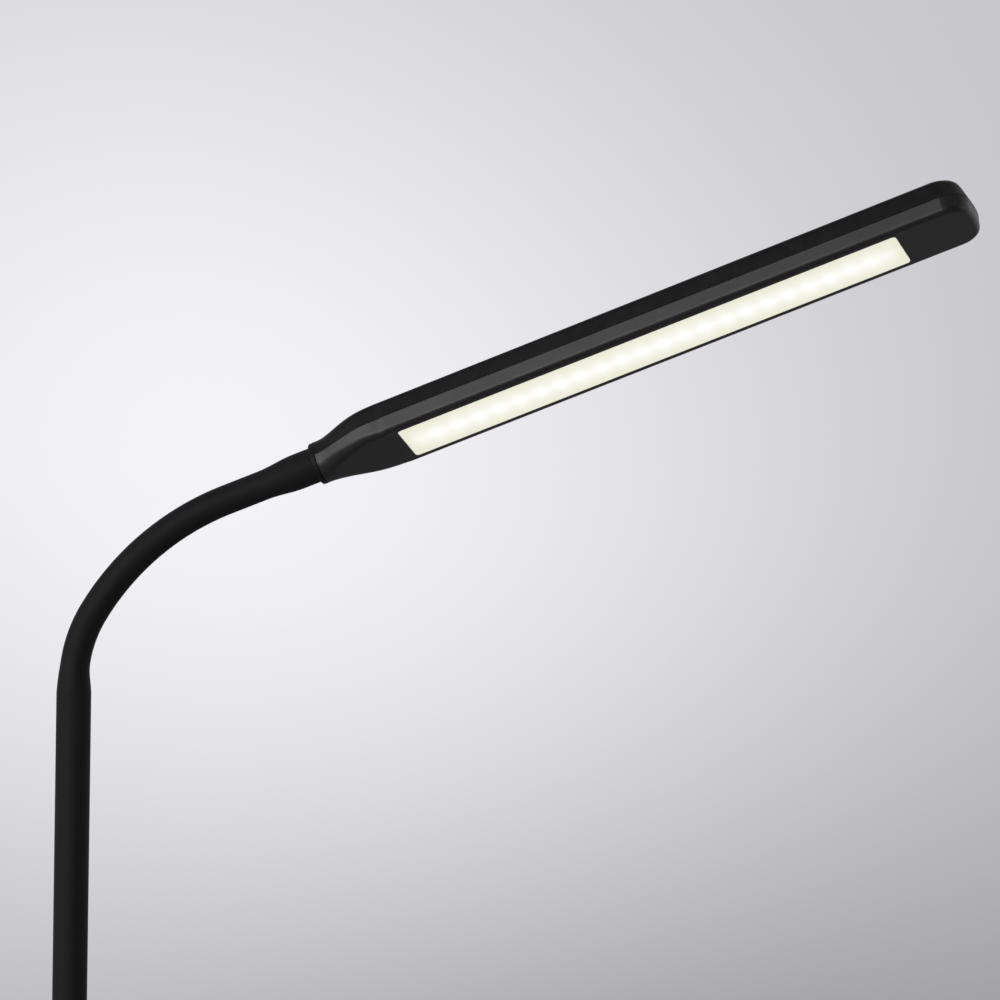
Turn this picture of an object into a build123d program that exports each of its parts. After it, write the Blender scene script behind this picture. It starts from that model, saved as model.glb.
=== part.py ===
"""Gooseneck desk lamp: round weighted base, straight post, flexible neck, long flat LED head.

Millimetres and degrees. The origin is the centre of the base's underside, +Z is up and the head
reaches out towards +X. The neck is built along its resting curve and the head stands at rest, turned
a little about its own length.
"""

import os
from math import cos, radians, sin, sqrt

from build123d import *

os.makedirs("parts", exist_ok=True)

# ---- fits
run_gap = 0.3  # between pieces that move against each other
close_gap = 0.1  # between fixed pieces that slide together on assembly
spindle_gap = 0.07  # running fit of the head on its spindle
weld = 0.001  # the head's flare and its straight part are joined within this

# ---- base
base_radius = 80.0
base_height = 24.0
base_shoulder = 9.0  # rounding of the cover's top edge
cover_wall = 2.0
cover_lift = 1.2  # the cover's rim stands clear of the table
pad_radius = 75.0
pad_thickness = 2.0
plate_thickness = 1.2
weight_thickness = 11.8
weight_radius = 74.0
boss_radius = 4.0
boss_circle = 66.0  # radius on which the cover's screw bosses stand
boss_count = 4
board_boss_radius = 2.5
board_screw_radius = 1.1
board_screw_head = 1.9
board_screw_head_height = 1.3
board_screw_length = 6.0
screw_radius = 1.5
screw_head_radius = 2.9
screw_head_height = 1.1

# ---- post
post_x = -50.0
post_radius = 6.0
post_wall = 0.8
post_top = 304.0
foot_radius = 15.0
foot_thickness = 3.0
foot_screw_circle = 11.0
foot_screw_count = 3
foot_screw_radius = 2.0
foot_screw_head = 3.4
foot_screw_head_height = 2.4
foot_screw_length = 10.0
trim_height = 6.0
trim_radius = 12.0
lead_slot_width = 4.4

# ---- sleeve, coil and lead
post_sleeve_radius = 7.3
neck_radius = 6.2
sleeve_bore = 4.5
ball_wall = 0.9  # wall of the rounded lip at the end of each sleeve stretch
ball_rise = 2.5
taper_below = 6.4  # the sleeve narrows from here below the first hinge
taper_above = 8.0  # to here above it
coil_radius = 3.45
wire_radius = 0.8
rings_per_stretch = 5
lead_radius = 1.75
lead_end_gap = 0.4
lead_ramp_start = 7.0  # from the post's foot: here the lead starts down into its channel
lead_ramp_end = 18.0

# ---- neck's resting curve
bend_start = taper_below + post_top  # height of the first hinge
neck_pitch = 15.0  # from one hinge to the next
neck_stretches = 8
tight_stretches = 2  # these share the tight bend at the bottom
wide_stretches = 5  # these share the wide bend, the rest are straight
tight_turn = 31.0
head_rise = 21.8  # slope of the head at rest

# ---- neck end
cuff_radius = 7.45
cuff_taper_start = 2.0  # from the last hinge
cuff_taper_end = 18.0
head_start = 26.0  # from the last hinge to the head's ring
ferrule_radius = 6.1
ferrule_start = 10.0
coil_socket = 8.0
spindle_radius = 4.0
spindle_bore = 2.4
spindle_reach = 12.5  # how far the spindle runs into the head
clip_groove_radius = 3.3
clip_thickness = 0.9

# ---- head, in its own frame: x from the ring's face to the tip, z up out of the top shell
head_roll = 24.0  # the head is turned this far about its length
head_length = 295.0
head_half_width = 17.6
head_depth = 6.85  # underside below the seam
head_top = 8.05  # top above the seam where the flare ends
head_top_tip = 9.0  # and at the tip
edge_round = 3.0
under_round = 2.5
tip_round = 10.5
tip_bow = 80.0  # radius of the bowed end, seen from above
tip_slope = 15.5  # the top shell's end leans back
side_draft = 10.0
shell_wall = 1.6
flare_end = 36.0
ring_radius = 8.95
ring_length = 2.0
ring_groove = 0.4  # shadow gap between the ring and the lower shell
ring_recess = 1.4
ring_edge = 0.8
seam_groove = 0.3  # fine step along the seam
hub_flange_radius = 6.8
hub_flange_end = 3.6
hub_radius = 5.6
hub_end = 9.0
washer_radius = 5.4
washer_thickness = 0.8
boss_wall = 1.4  # round the screws of the light board
# stations of the flare, all as shares: way from the ring to the flare's end, then how much of the
# ring is left in half width, top height, top rounding, depth and under rounding
flare_shares = (
    (0.0, 1.0, 0.94, 0.91, 0.90, 0.86),
    (0.075, 1.0, 0.94, 0.91, 0.90, 0.86),
    (0.235, 0.75, 0.11, 0.60, 0.45, 0.66),
    (0.41, 0.46, 0.22, 0.345, 0.19, 0.43),
    (0.59, 0.195, 0.28, 0.17, 0.07, 0.26),
    (0.765, 0.055, 0.17, 0.05, 0.02, 0.14),
    (1.0, 0.0, 0.0, 0.0, 0.0, 0.0),
)

# ---- light
lens_start = 39.6
lens_length = 222.0
lens_width = 25.1
lens_corner = 1.6
lens_gap = 0.15
lens_flange = 1.2
flange_thickness = 1.0
tray_wall = 0.5
led_board_width = 12.0
led_board_thickness = 1.0
led_count = 24
led_length = 3.5
led_width = 2.8
led_height = 0.7
spreader_width = 20.0
spreader_thickness = 1.2
led_screw_count = 4
led_screw_radius = 1.0
led_screw_head = 1.9
led_screw_head_height = 0.6

# ---- switch and electronics
button_x = 30.0
button_radius = 7.7
button_gap = 0.35
button_proud = 1.3
button_flange = 1.8
button_travel = 1.0
button_stem = 2.0
switch_size = 6.0
switch_height = 3.4
plunger_radius = 1.7
plunger_height = 1.5
board_length = 44.0
board_width = 32.0
board_thickness = 1.6
board_height = 10.0
board_hole_inset = 4.0
board_plug_length = 6.0
board_plug_width = 7.0
board_plug_height = 4.6
board_plug_inset = 5.0  # from the board's end
driver_size = 7.0
driver_height = 3.2
driver_x = 14.0  # from the button
driver_y = 4.0
capacitor_radius = 3.1
capacitor_height = 6.5
capacitor_y = -5.0
window_margin = 4.0
jack_length = 13.5
jack_width = 9.0
jack_height = 11.0
jack_snout_radius = 4.2
jack_bore = 2.85
jack_depth = 9.5
jack_pin = 1.0
jack_lead_radius = 1.1
jack_lead_side = 24.0  # how far the lead swings out round the post's foot
jack_lead_reach = 30.0  # and how far past the post it stays there
jack_plug_side = 6.2  # its plug's place beside the board's middle

# ---- heights and places that follow
plate_top = pad_thickness + plate_thickness
weight_top = plate_top + weight_thickness
ceiling = base_height - cover_wall
foot_top = weight_top + foot_thickness
post_bore = post_radius - post_wall
sleeve_foot = ceiling + 0.5 * cover_wall
board_top = board_height + board_thickness
board_hole_x = board_length - 2 * board_hole_inset
board_hole_y = board_width - 2 * board_hole_inset
ring_step = neck_pitch / rings_per_stretch
wide_turn = 90.0 - tight_turn - head_rise
tight_length = tight_stretches * neck_pitch
wide_length = wide_stretches * neck_pitch
neck_length = neck_stretches * neck_pitch
hinge_sleeve_radius = neck_radius + (post_sleeve_radius - neck_radius) * taper_above / (
    taper_above + taper_below
)
stretches = range(1, neck_stretches + 1)
body_sizes = (head_half_width, head_top, edge_round, head_depth, under_round)


def save(builder, label):
    """Label a finished piece and write it under its own name."""
    builder.part.label = label
    export_step(builder.part, f"parts/{label}.step")


# ---------------------------------------------------------------- the neck's centreline
def neck_heading(s):
    """Slope of the centreline, s along it from the first hinge."""
    if s <= 0:
        return 90.0
    if s <= tight_length:
        return 90.0 - tight_turn * s / tight_length
    if s <= tight_length + wide_length:
        return 90.0 - tight_turn - wide_turn * (s - tight_length) / wide_length
    return head_rise


def along_arc(x, z, heading, length, turn):
    """End point of an arc that bends down by turn over its length."""
    if turn == 0:
        return x + length * cos(radians(heading)), z + length * sin(radians(heading))
    radius = length / radians(turn)
    last = heading - turn
    x += radius * (sin(radians(heading)) - sin(radians(last)))
    z += radius * (cos(radians(last)) - cos(radians(heading)))
    return x, z


def neck_point(s):
    """Point of the centreline, s along it from the first hinge."""
    x, z, heading, done = post_x, bend_start, 90.0, 0.0
    if s <= 0:
        return Vector(x, 0, z + s)
    for length, turn in ((tight_length, tight_turn), (wide_length, wide_turn)):
        share = min(s - done, length)
        if share <= 0:
            break
        x, z = along_arc(x, z, heading, share, turn * share / length)
        heading -= turn * share / length
        done += share
    if s > done:
        x, z = along_arc(x, z, heading, s - done, 0)
    return Vector(x, 0, z)


def neck_direction(s):
    """Unit vector along the centreline."""
    return Vector(cos(radians(neck_heading(s))), 0, sin(radians(neck_heading(s))))


def neck_plane(s):
    """Plane across the neck, normal along it."""
    return Plane(origin=neck_point(s), x_dir=(0, 1, 0), z_dir=neck_direction(s))


def neck_profile_plane(s):
    """Plane through the centreline: x out from it, y along it."""
    along = neck_direction(s)
    return Plane(origin=neck_point(s), x_dir=(-along.Z, 0, along.X), z_dir=(0, 1, 0))


def neck_path(start, end):
    """Centreline from start to end, within one arc or one straight."""
    with BuildLine() as path:
        if start >= tight_length + wide_length:
            Line(neck_point(start), neck_point(end))
        else:
            ThreePointArc(neck_point(start), neck_point((start + end) / 2), neck_point(end))
    return path.line


def hinge(k):
    """Distance along the neck of hinge k, from 1."""
    return (k - 1) * neck_pitch


def lip_profile(radius):
    """Half section of the rounded lip that closes a sleeve stretch, on its hinge's centre."""
    inner = radius - ball_wall
    with BuildSketch() as lip:
        with BuildLine():
            Line((inner, 0), (radius, 0))
            RadiusArc((radius, 0), (sqrt(radius**2 - ball_rise**2), ball_rise), -radius)
            Line(
                (sqrt(radius**2 - ball_rise**2), ball_rise),
                (sqrt(inner**2 - ball_rise**2), ball_rise),
            )
            RadiusArc((sqrt(inner**2 - ball_rise**2), ball_rise), (inner, 0), inner)
        make_face()
    return lip.sketch


# ---------------------------------------------------------------- base
with BuildPart() as antislip_pad:
    with BuildSketch():
        Circle(pad_radius)
        with PolarLocations(boss_circle, boss_count, start_angle=45):
            Circle(screw_head_radius + 0.6, mode=Mode.SUBTRACT)
    extrude(amount=pad_thickness)
    fillet(antislip_pad.faces().sort_by(Axis.Z)[-1].outer_wire().edges(), 0.5)
save(antislip_pad, "antislip_pad")

with BuildPart() as base_plate:
    with BuildSketch(Plane.XY.offset(pad_thickness)):
        Circle(base_radius - cover_wall - run_gap)
        with PolarLocations(boss_circle, boss_count, start_angle=45):
            Circle(screw_radius + close_gap, mode=Mode.SUBTRACT)
    extrude(amount=plate_thickness)
save(base_plate, "base_plate")

with BuildPart() as base_screws:
    with BuildSketch(Plane.XY.offset(pad_thickness - screw_head_height)):
        with PolarLocations(boss_circle, boss_count, start_angle=45):
            Circle(screw_head_radius)
    extrude(amount=screw_head_height)
    with BuildSketch(Plane.XY.offset(pad_thickness)):
        with PolarLocations(boss_circle, boss_count, start_angle=45):
            Circle(screw_radius)
    extrude(amount=weight_thickness)
    with BuildSketch(Plane.XY.offset(pad_thickness - screw_head_height)):
        with PolarLocations(boss_circle, boss_count, start_angle=45):
            Rectangle(0.7, 3.4)
            Rectangle(3.4, 0.7)
    extrude(amount=0.6, mode=Mode.SUBTRACT)
save(base_screws, "base_screws")

window_length = board_length + 2 * window_margin
window_width = board_width + 2 * window_margin
channel_depth = 3.4
channel_width = 2 * lead_radius + 2.0
jack_back = -(base_radius - cover_wall - run_gap) + jack_length
with BuildPart() as base_weight:
    with BuildSketch(Plane.XY.offset(plate_top)):
        Circle(weight_radius)
        with PolarLocations(boss_circle, boss_count, start_angle=45):
            Circle(boss_radius + close_gap, mode=Mode.SUBTRACT)
        with Locations((button_x, 0)):
            RectangleRounded(window_length, window_width, 3.0, mode=Mode.SUBTRACT)
        with Locations((jack_back - jack_length, 0)):
            Rectangle(2 * jack_length + 4.0, jack_width + 1.0, mode=Mode.SUBTRACT)
    extrude(amount=weight_thickness)
    with BuildSketch(Plane.XY.offset(weight_top - channel_depth)):
        with Locations(((post_x + foot_radius + button_x - window_length / 2) / 2, 0)):
            Rectangle(button_x - window_length / 2 - post_x - foot_radius + 6.0, channel_width)
    extrude(amount=channel_depth, mode=Mode.SUBTRACT)
    with BuildSketch(Plane.XY.offset(weight_top)):
        with Locations((post_x, 0)):
            with PolarLocations(foot_screw_circle, foot_screw_count, start_angle=60):
                Circle(foot_screw_radius)
    extrude(amount=-foot_screw_length, mode=Mode.SUBTRACT)
save(base_weight, "base_weight")

with BuildPart() as base_cover:
    with BuildSketch(Plane.XY.offset(cover_lift)):
        Circle(base_radius)
    extrude(amount=base_height - cover_lift)
    fillet(base_cover.edges().group_by(Axis.Z)[-1], base_shoulder)
    offset(amount=-cover_wall, openings=base_cover.faces().sort_by(Axis.Z)[0])
    with BuildSketch(Plane.XY.offset(plate_top)):
        with PolarLocations(boss_circle, boss_count, start_angle=45):
            Circle(boss_radius)
    extrude(amount=ceiling - plate_top + 0.5 * cover_wall)
    with BuildSketch(Plane.XY.offset(plate_top)):
        with PolarLocations(boss_circle, boss_count, start_angle=45):
            Circle(screw_radius)
    extrude(amount=weight_thickness - 1.0, mode=Mode.SUBTRACT)
    with BuildSketch(Plane.XY.offset(board_top)):
        with Locations((button_x, 0)):
            with GridLocations(board_hole_x, board_hole_y, 2, 2):
                Circle(board_boss_radius)
    extrude(amount=ceiling - board_top + 0.5 * cover_wall)
    with BuildSketch(Plane.XY.offset(board_top)):
        with Locations((button_x, 0)):
            with GridLocations(board_hole_x, board_hole_y, 2, 2):
                Circle(board_screw_radius)
    extrude(amount=board_screw_length, mode=Mode.SUBTRACT)
    with BuildSketch(Plane.XY.offset(ceiling)):
        with Locations((post_x, 0)):
            Circle(post_sleeve_radius + run_gap)
        with Locations((button_x, 0)):
            Circle(button_radius + button_gap)
    extrude(amount=cover_wall, mode=Mode.SUBTRACT)
    with BuildSketch(Plane.YZ.offset(-base_radius - 1.0)):
        with Locations((0, plate_top + run_gap + jack_height / 2)):
            Circle(jack_snout_radius + close_gap)
    extrude(amount=base_radius / 2, mode=Mode.SUBTRACT)
save(base_cover, "base_cover")

# ---------------------------------------------------------------- switch, board and inlet
with BuildPart() as power_button:
    with BuildSketch(Plane.XY.offset(ceiling - run_gap)):
        with Locations((button_x, 0)):
            Circle(button_radius)
    extrude(amount=cover_wall + run_gap + button_proud)
    fillet(power_button.edges().group_by(Axis.Z)[-1], 0.8)
    with BuildSketch(Plane.XY.offset(ceiling - run_gap)):
        with Locations((button_x, 0)):
            Circle(button_radius + button_flange)
    extrude(amount=-1.2)
    with BuildSketch(Plane.XY.offset(board_top + switch_height + plunger_height)):
        with Locations((button_x, 0)):
            Circle(button_stem)
    extrude(until=Until.NEXT)
save(power_button, "power_button")

plunger_hidden = button_travel
with BuildPart() as switch_plunger:
    with BuildSketch(Plane.XY.offset(board_top + switch_height - plunger_hidden)):
        with Locations((button_x, 0)):
            Circle(plunger_radius)
    extrude(amount=plunger_height + plunger_hidden)
save(switch_plunger, "switch_plunger")

with BuildPart() as tact_switch:
    with BuildSketch(Plane.XY.offset(board_top)):
        with Locations((button_x, 0)):
            Rectangle(switch_size, switch_size)
    extrude(amount=switch_height)
    with BuildSketch(Plane.XY.offset(board_top + switch_height)):
        with Locations((button_x, 0)):
            Circle(plunger_radius + run_gap)
    extrude(amount=-plunger_hidden - button_travel - run_gap, mode=Mode.SUBTRACT)
save(tact_switch, "tact_switch")

with BuildPart() as control_board:
    with BuildSketch(Plane.XY.offset(board_height)):
        with Locations((button_x, 0)):
            RectangleRounded(board_length, board_width, 2.0)
            with GridLocations(board_hole_x, board_hole_y, 2, 2):
                Circle(board_screw_radius + close_gap, mode=Mode.SUBTRACT)
    extrude(amount=board_thickness)
save(control_board, "control_board")

plug_face = button_x - board_length / 2 + board_plug_inset  # where the main lead meets its plug
small_part_row = board_hole_y / 2 - 2.0
with BuildPart() as board_parts:
    with BuildSketch(Plane.XY.offset(board_top)):
        with Locations((plug_face + board_plug_length / 2, 0)):
            Rectangle(board_plug_length, board_plug_width)
    extrude(amount=board_plug_height)
    with BuildSketch(Plane.XY.offset(board_top)):
        with Locations((button_x + driver_x, driver_y)):
            RectangleRounded(driver_size, driver_size, 1.0)
    extrude(amount=driver_height)
    with BuildSketch(Plane.XY.offset(board_top)):
        with Locations((button_x + driver_x, capacitor_y)):
            Circle(capacitor_radius)
    extrude(amount=capacitor_height)
    with BuildSketch(Plane.XY.offset(board_top)):
        with Locations((button_x - 4.0, -small_part_row)):
            Rectangle(6.0, 4.0)
        for step in (-1, 0, 1):
            with Locations((button_x + 2.0 + 4.0 * step, small_part_row)):
                Rectangle(1.6, 0.9)
    extrude(amount=1.2)
save(board_parts, "board_parts")

with BuildPart() as board_screws:
    with BuildSketch(Plane.XY.offset(board_height)):
        with Locations((button_x, 0)):
            with GridLocations(board_hole_x, board_hole_y, 2, 2):
                Circle(board_screw_head)
    extrude(amount=-board_screw_head_height)
    with BuildSketch(Plane.XY.offset(board_height)):
        with Locations((button_x, 0)):
            with GridLocations(board_hole_x, board_hole_y, 2, 2):
                Circle(board_screw_radius)
    extrude(amount=board_screw_length)
save(board_screws, "board_screws")

jack_front = jack_back - jack_length
jack_foot = plate_top + run_gap
jack_axis = jack_foot + jack_height / 2
with BuildPart() as dc_jack:
    with BuildSketch(Plane.YZ.offset(jack_front)):
        with Locations((0, jack_axis)):
            Rectangle(jack_width, jack_height)
    extrude(amount=jack_length)
    with BuildSketch(Plane.YZ.offset(jack_front)):
        with Locations((0, jack_axis)):
            Circle(jack_snout_radius)
    extrude(amount=-1.6)
    with BuildSketch(Plane.YZ.offset(jack_front - 1.6)):
        with Locations((0, jack_axis)):
            Circle(jack_bore)
            Circle(jack_pin, mode=Mode.SUBTRACT)
    extrude(amount=jack_depth, mode=Mode.SUBTRACT)
    with BuildSketch(Plane.YZ.offset(jack_front - 1.6)):
        with Locations((0, jack_axis)):
            Circle(jack_pin)
    extrude(amount=1.2, mode=Mode.SUBTRACT)
save(dc_jack, "dc_jack")

over_weight = weight_top + jack_lead_radius + 1.2
jack_route = [
    (jack_back - 4.5, 0, jack_foot + jack_height),
    (jack_back - 4.5, 0, over_weight),
    (jack_back + 2.5, jack_lead_side, over_weight),
    (post_x + jack_lead_reach, jack_lead_side, over_weight),
    (plug_face + 1.0, jack_plug_side, over_weight),
    (plug_face + 1.0, jack_plug_side, board_top),
]
with BuildPart() as jack_lead:
    with BuildLine() as jack_line:
        FilletPolyline(jack_route, radius=[2.2, 7.0, 9.0, 3.0])
    with BuildSketch(Plane(origin=jack_route[0], z_dir=(0, 0, 1))):
        Circle(jack_lead_radius)
    sweep(path=jack_line.wires()[0])
save(jack_lead, "jack_lead")

# ---------------------------------------------------------------- post
with BuildPart() as post_tube:
    with BuildSketch(Plane.XY.offset(weight_top)):
        with Locations((post_x, 0)):
            Circle(foot_radius)
            with PolarLocations(foot_screw_circle, foot_screw_count, start_angle=60):
                Circle(foot_screw_radius + close_gap, mode=Mode.SUBTRACT)
    extrude(amount=foot_thickness)
    fillet(post_tube.faces().sort_by(Axis.Z)[-1].outer_wire().edges(), 0.6)
    with BuildSketch(Plane.XY.offset(weight_top)):
        with Locations((post_x, 0)):
            Circle(post_radius)
    extrude(amount=post_top - weight_top)
    with BuildSketch(Plane.XY.offset(weight_top)):
        with Locations((post_x, 0)):
            Circle(post_bore)
    extrude(amount=post_top - weight_top, mode=Mode.SUBTRACT)
    with BuildSketch(Plane.XY.offset(foot_top)):
        with Locations((post_x + post_radius, 0)):
            Rectangle(2 * post_radius, lead_slot_width)
    extrude(amount=lead_slot_width, mode=Mode.SUBTRACT)
save(post_tube, "post_tube")

with BuildPart() as post_screws:
    with BuildSketch(Plane.XY.offset(foot_top)):
        with Locations((post_x, 0)):
            with PolarLocations(foot_screw_circle, foot_screw_count, start_angle=60):
                Circle(foot_screw_head)
    extrude(amount=foot_screw_head_height)
    fillet(post_screws.edges().group_by(Axis.Z)[-1], 0.7)
    with BuildSketch(Plane.XY.offset(foot_top + foot_screw_head_height)):
        with Locations((post_x, 0)):
            with PolarLocations(foot_screw_circle, foot_screw_count, start_angle=60):
                Rectangle(0.9, 4.0)
                Rectangle(4.0, 0.9)
    extrude(amount=-1.2, mode=Mode.SUBTRACT)
    with BuildSketch(Plane.XY.offset(foot_top)):
        with Locations((post_x, 0)):
            with PolarLocations(foot_screw_circle, foot_screw_count, start_angle=60):
                Circle(foot_screw_radius)
    extrude(amount=-foot_screw_length)
save(post_screws, "post_screws")

with BuildPart() as post_trim:
    with BuildSketch(Plane.XZ):
        with BuildLine():
            Polyline(
                (post_x + post_sleeve_radius + close_gap, base_height),
                (post_x + trim_radius, base_height),
                (post_x + trim_radius, base_height + 1.2),
                (post_x + post_sleeve_radius + 1.8, base_height + trim_height),
                (post_x + post_sleeve_radius + close_gap, base_height + trim_height),
                close=True,
            )
        make_face()
    revolve(axis=Axis((post_x, 0, 0), (0, 0, 1)))
    fillet(post_trim.edges().group_by(Axis.Z)[-1].sort_by(SortBy.LENGTH)[-1], 0.6)
save(post_trim, "post_trim")

sleeve_step = bend_start - 1.5  # the sleeve closes in on the coil above the ferrule
with BuildPart() as sleeve_post:
    with BuildSketch(Plane(origin=(post_x, 0, 0), x_dir=(1, 0, 0), z_dir=(0, -1, 0))):
        with BuildLine():
            Polyline(
                (post_radius, sleeve_foot),
                (post_sleeve_radius, sleeve_foot),
                (post_sleeve_radius, post_top),
                (hinge_sleeve_radius, bend_start),
                (sleeve_bore, bend_start),
                (sleeve_bore, sleeve_step),
                (post_radius, sleeve_step),
                close=True,
            )
        make_face()
    revolve(axis=Axis((post_x, 0, 0), (0, 0, 1)))
    with BuildSketch(neck_profile_plane(0)):
        add(lip_profile(hinge_sleeve_radius))
    revolve(axis=Axis(neck_point(0), neck_direction(0)))
save(sleeve_post, "sleeve_post")

coil_outer = coil_radius + wire_radius
with BuildPart() as lower_ferrule:
    with BuildSketch(Plane(origin=(post_x, 0, 0), x_dir=(1, 0, 0), z_dir=(0, -1, 0))):
        with BuildLine():
            Polyline(
                (spindle_bore, post_top - 14.0),
                (post_bore - close_gap, post_top - 14.0),
                (post_bore - close_gap, post_top),
                (post_radius - close_gap, post_top),
                (post_radius - close_gap, sleeve_step - close_gap),
                (coil_outer + close_gap, sleeve_step - close_gap),
                (coil_outer + close_gap, bend_start - 3 * ring_step - close_gap),
                (spindle_bore, bend_start - 3 * ring_step - close_gap),
                close=True,
            )
        make_face()
    revolve(axis=Axis((post_x, 0, 0), (0, 0, 1)))
save(lower_ferrule, "lower_ferrule")

with BuildPart() as coil_post:
    with Locations(*[neck_plane(-ring_step * (i + 0.5)) for i in range(3)]):
        Torus(coil_radius, wire_radius)
save(coil_post, "coil_post")

in_channel = weight_top - channel_depth + lead_radius + close_gap
over_foot = foot_top + lead_radius + 0.25
lead_route = [
    (plug_face, 0, in_channel),
    (post_x + foot_radius + lead_ramp_end, 0, in_channel),
    (post_x + foot_radius + lead_ramp_start, 0, over_foot),
    (post_x, 0, over_foot),
    (post_x, 0, bend_start - lead_end_gap),
]
with BuildPart() as lead_post:
    with BuildLine() as lead_line:
        FilletPolyline(lead_route, radius=[8.0, 8.0, 4.0])
    with BuildSketch(Plane(origin=lead_route[0], z_dir=(-1, 0, 0))):
        Circle(lead_radius)
    sweep(path=lead_line.wires()[0])
save(lead_post, "lead_post")

# ---------------------------------------------------------------- neck: eight jointed stretches
for k in stretches:
    first, last = hinge(k), hinge(k + 1)
    start_radius = hinge_sleeve_radius if k == 1 else neck_radius
    with BuildPart() as sleeve:
        body_start = first
        if k == 1:
            body_start = first + taper_above
            with BuildSketch(neck_plane(first)):
                Circle(hinge_sleeve_radius)
            with BuildSketch(neck_plane(body_start)):
                Circle(neck_radius)
            loft()
        with BuildSketch(neck_plane(body_start)):
            Circle(neck_radius)
        sweep(path=neck_path(body_start, last))
        with BuildSketch(neck_plane(first)):
            Circle(sleeve_bore)
        sweep(path=neck_path(first, last), mode=Mode.SUBTRACT)
        with BuildSketch(neck_profile_plane(last)):
            add(lip_profile(neck_radius))
        revolve(axis=Axis(neck_point(last), neck_direction(last)))
        with Locations(neck_point(first)):
            Sphere(start_radius + run_gap, mode=Mode.SUBTRACT)
    save(sleeve, f"sleeve_{k}")

    with BuildPart() as coil:
        with Locations(*[neck_plane(first + ring_step * (i + 0.5)) for i in range(rings_per_stretch)]):
            Torus(coil_radius, wire_radius)
    save(coil, f"coil_{k}")

    with BuildPart() as lead:
        with BuildSketch(neck_plane(first + lead_end_gap)):
            Circle(lead_radius)
        sweep(path=neck_path(first + lead_end_gap, last - lead_end_gap))
    save(lead, f"lead_{k}")

# ---------------------------------------------------------------- neck end
ferrule_end = head_start + ring_recess - run_gap  # the cuff ends level with it
socket_end = ferrule_start + coil_socket
spindle_end = head_start + spindle_reach
clip_start = head_start + hub_end + 1.0
last_hinge_axis = Axis(neck_point(neck_length), neck_direction(neck_length))
with BuildPart() as head_ferrule:
    with BuildSketch(neck_profile_plane(neck_length)):
        with BuildLine():
            Polyline(
                (coil_outer + close_gap, ferrule_start),
                (ferrule_radius, ferrule_start),
                (ferrule_radius, ferrule_end),
                (spindle_radius, ferrule_end),
                (spindle_radius, clip_start),
                (clip_groove_radius, clip_start),
                (clip_groove_radius, clip_start + clip_thickness + close_gap),
                (spindle_radius, clip_start + clip_thickness + close_gap),
                (spindle_radius, spindle_end),
                (spindle_bore, spindle_end),
                (spindle_bore, socket_end),
                (coil_outer + close_gap, socket_end),
                close=True,
            )
        make_face()
    revolve(axis=last_hinge_axis)
save(head_ferrule, "head_ferrule")

with BuildPart() as sleeve_head:
    with BuildSketch(neck_profile_plane(neck_length)):
        with BuildLine():
            Polyline(
                (sleeve_bore, 0),
                (neck_radius, 0),
                (neck_radius, cuff_taper_start),
                (cuff_radius, cuff_taper_end),
                (cuff_radius, ferrule_end),
                (ferrule_radius, ferrule_end),
                (ferrule_radius, ferrule_start - 0.5),
                (sleeve_bore, ferrule_start - 0.5),
                close=True,
            )
        make_face()
    revolve(axis=last_hinge_axis)
    with Locations(neck_point(neck_length)):
        Sphere(neck_radius + run_gap, mode=Mode.SUBTRACT)
save(sleeve_head, "sleeve_head")

head_rings = int(socket_end / ring_step)
with BuildPart() as coil_head:
    with Locations(*[neck_plane(neck_length + ring_step * (i + 0.5)) for i in range(head_rings)]):
        Torus(coil_radius, wire_radius)
save(coil_head, "coil_head")

lead_end_stop = neck_length + spindle_end - 1.0
with BuildPart() as lead_end:
    with BuildSketch(neck_plane(neck_length + lead_end_gap)):
        Circle(lead_radius)
    sweep(path=neck_path(neck_length + lead_end_gap, lead_end_stop))
save(lead_end, "lead_end")

with BuildPart() as retaining_clip:
    with BuildSketch(neck_plane(neck_length + clip_start + close_gap / 2)):
        Circle(washer_radius)
        Circle(clip_groove_radius + close_gap / 2, mode=Mode.SUBTRACT)
        with Locations((0, -washer_radius)):
            Rectangle(1.5 * clip_groove_radius, 2 * washer_radius - 1.0, mode=Mode.SUBTRACT)
    extrude(amount=clip_thickness)
save(retaining_clip, "retaining_clip")

# ---------------------------------------------------------------- head
head_along = neck_direction(neck_length)
level_up = Vector(-head_along.Z, 0, head_along.X)  # out of the top before the head is turned
head_side = Vector(0, cos(radians(head_roll)), 0) - level_up * sin(radians(head_roll))
head_up = head_along.cross(head_side)
head_origin = neck_point(neck_length + head_start)


def head_section(x):
    """Plane across the head at x: its x to the side, its y up out of the top shell."""
    return Plane(origin=head_origin + head_along * x, x_dir=head_side, z_dir=head_along)


def head_level(z):
    """Plane along the head at height z over the seam: its x towards the tip."""
    return Plane(origin=head_origin + head_up * z, x_dir=head_along, z_dir=head_up)


head_profile = Plane(origin=head_origin, x_dir=head_along, z_dir=-head_side)
head_axis = Axis(head_origin, head_along)


def flare_station(shares):
    """Place of a station along the head and its sizes, blended from the ring to the body."""
    along, *ring_parts = shares
    sizes = [size + part * (ring_radius - size) for size, part in zip(body_sizes, ring_parts)]
    return ring_length + along * (flare_end - ring_length), sizes


def plan_outline(inset):
    """The head seen from above: straight sides, a bowed end and rounded corners."""
    half_width, tip, bow = head_half_width - inset, head_length - inset, tip_bow - inset
    shoulder = tip - bow + sqrt(bow**2 - half_width**2)
    with BuildSketch() as plan:
        with BuildLine():
            Polyline((shoulder, half_width), (0, half_width), (0, -half_width), (shoulder, -half_width))
            ThreePointArc((shoulder, -half_width), (tip, 0), (shoulder, half_width))
        make_face()
        fillet(plan.vertices().sort_by(Axis.X)[-2:], tip_round - inset)
    return plan.sketch


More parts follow.
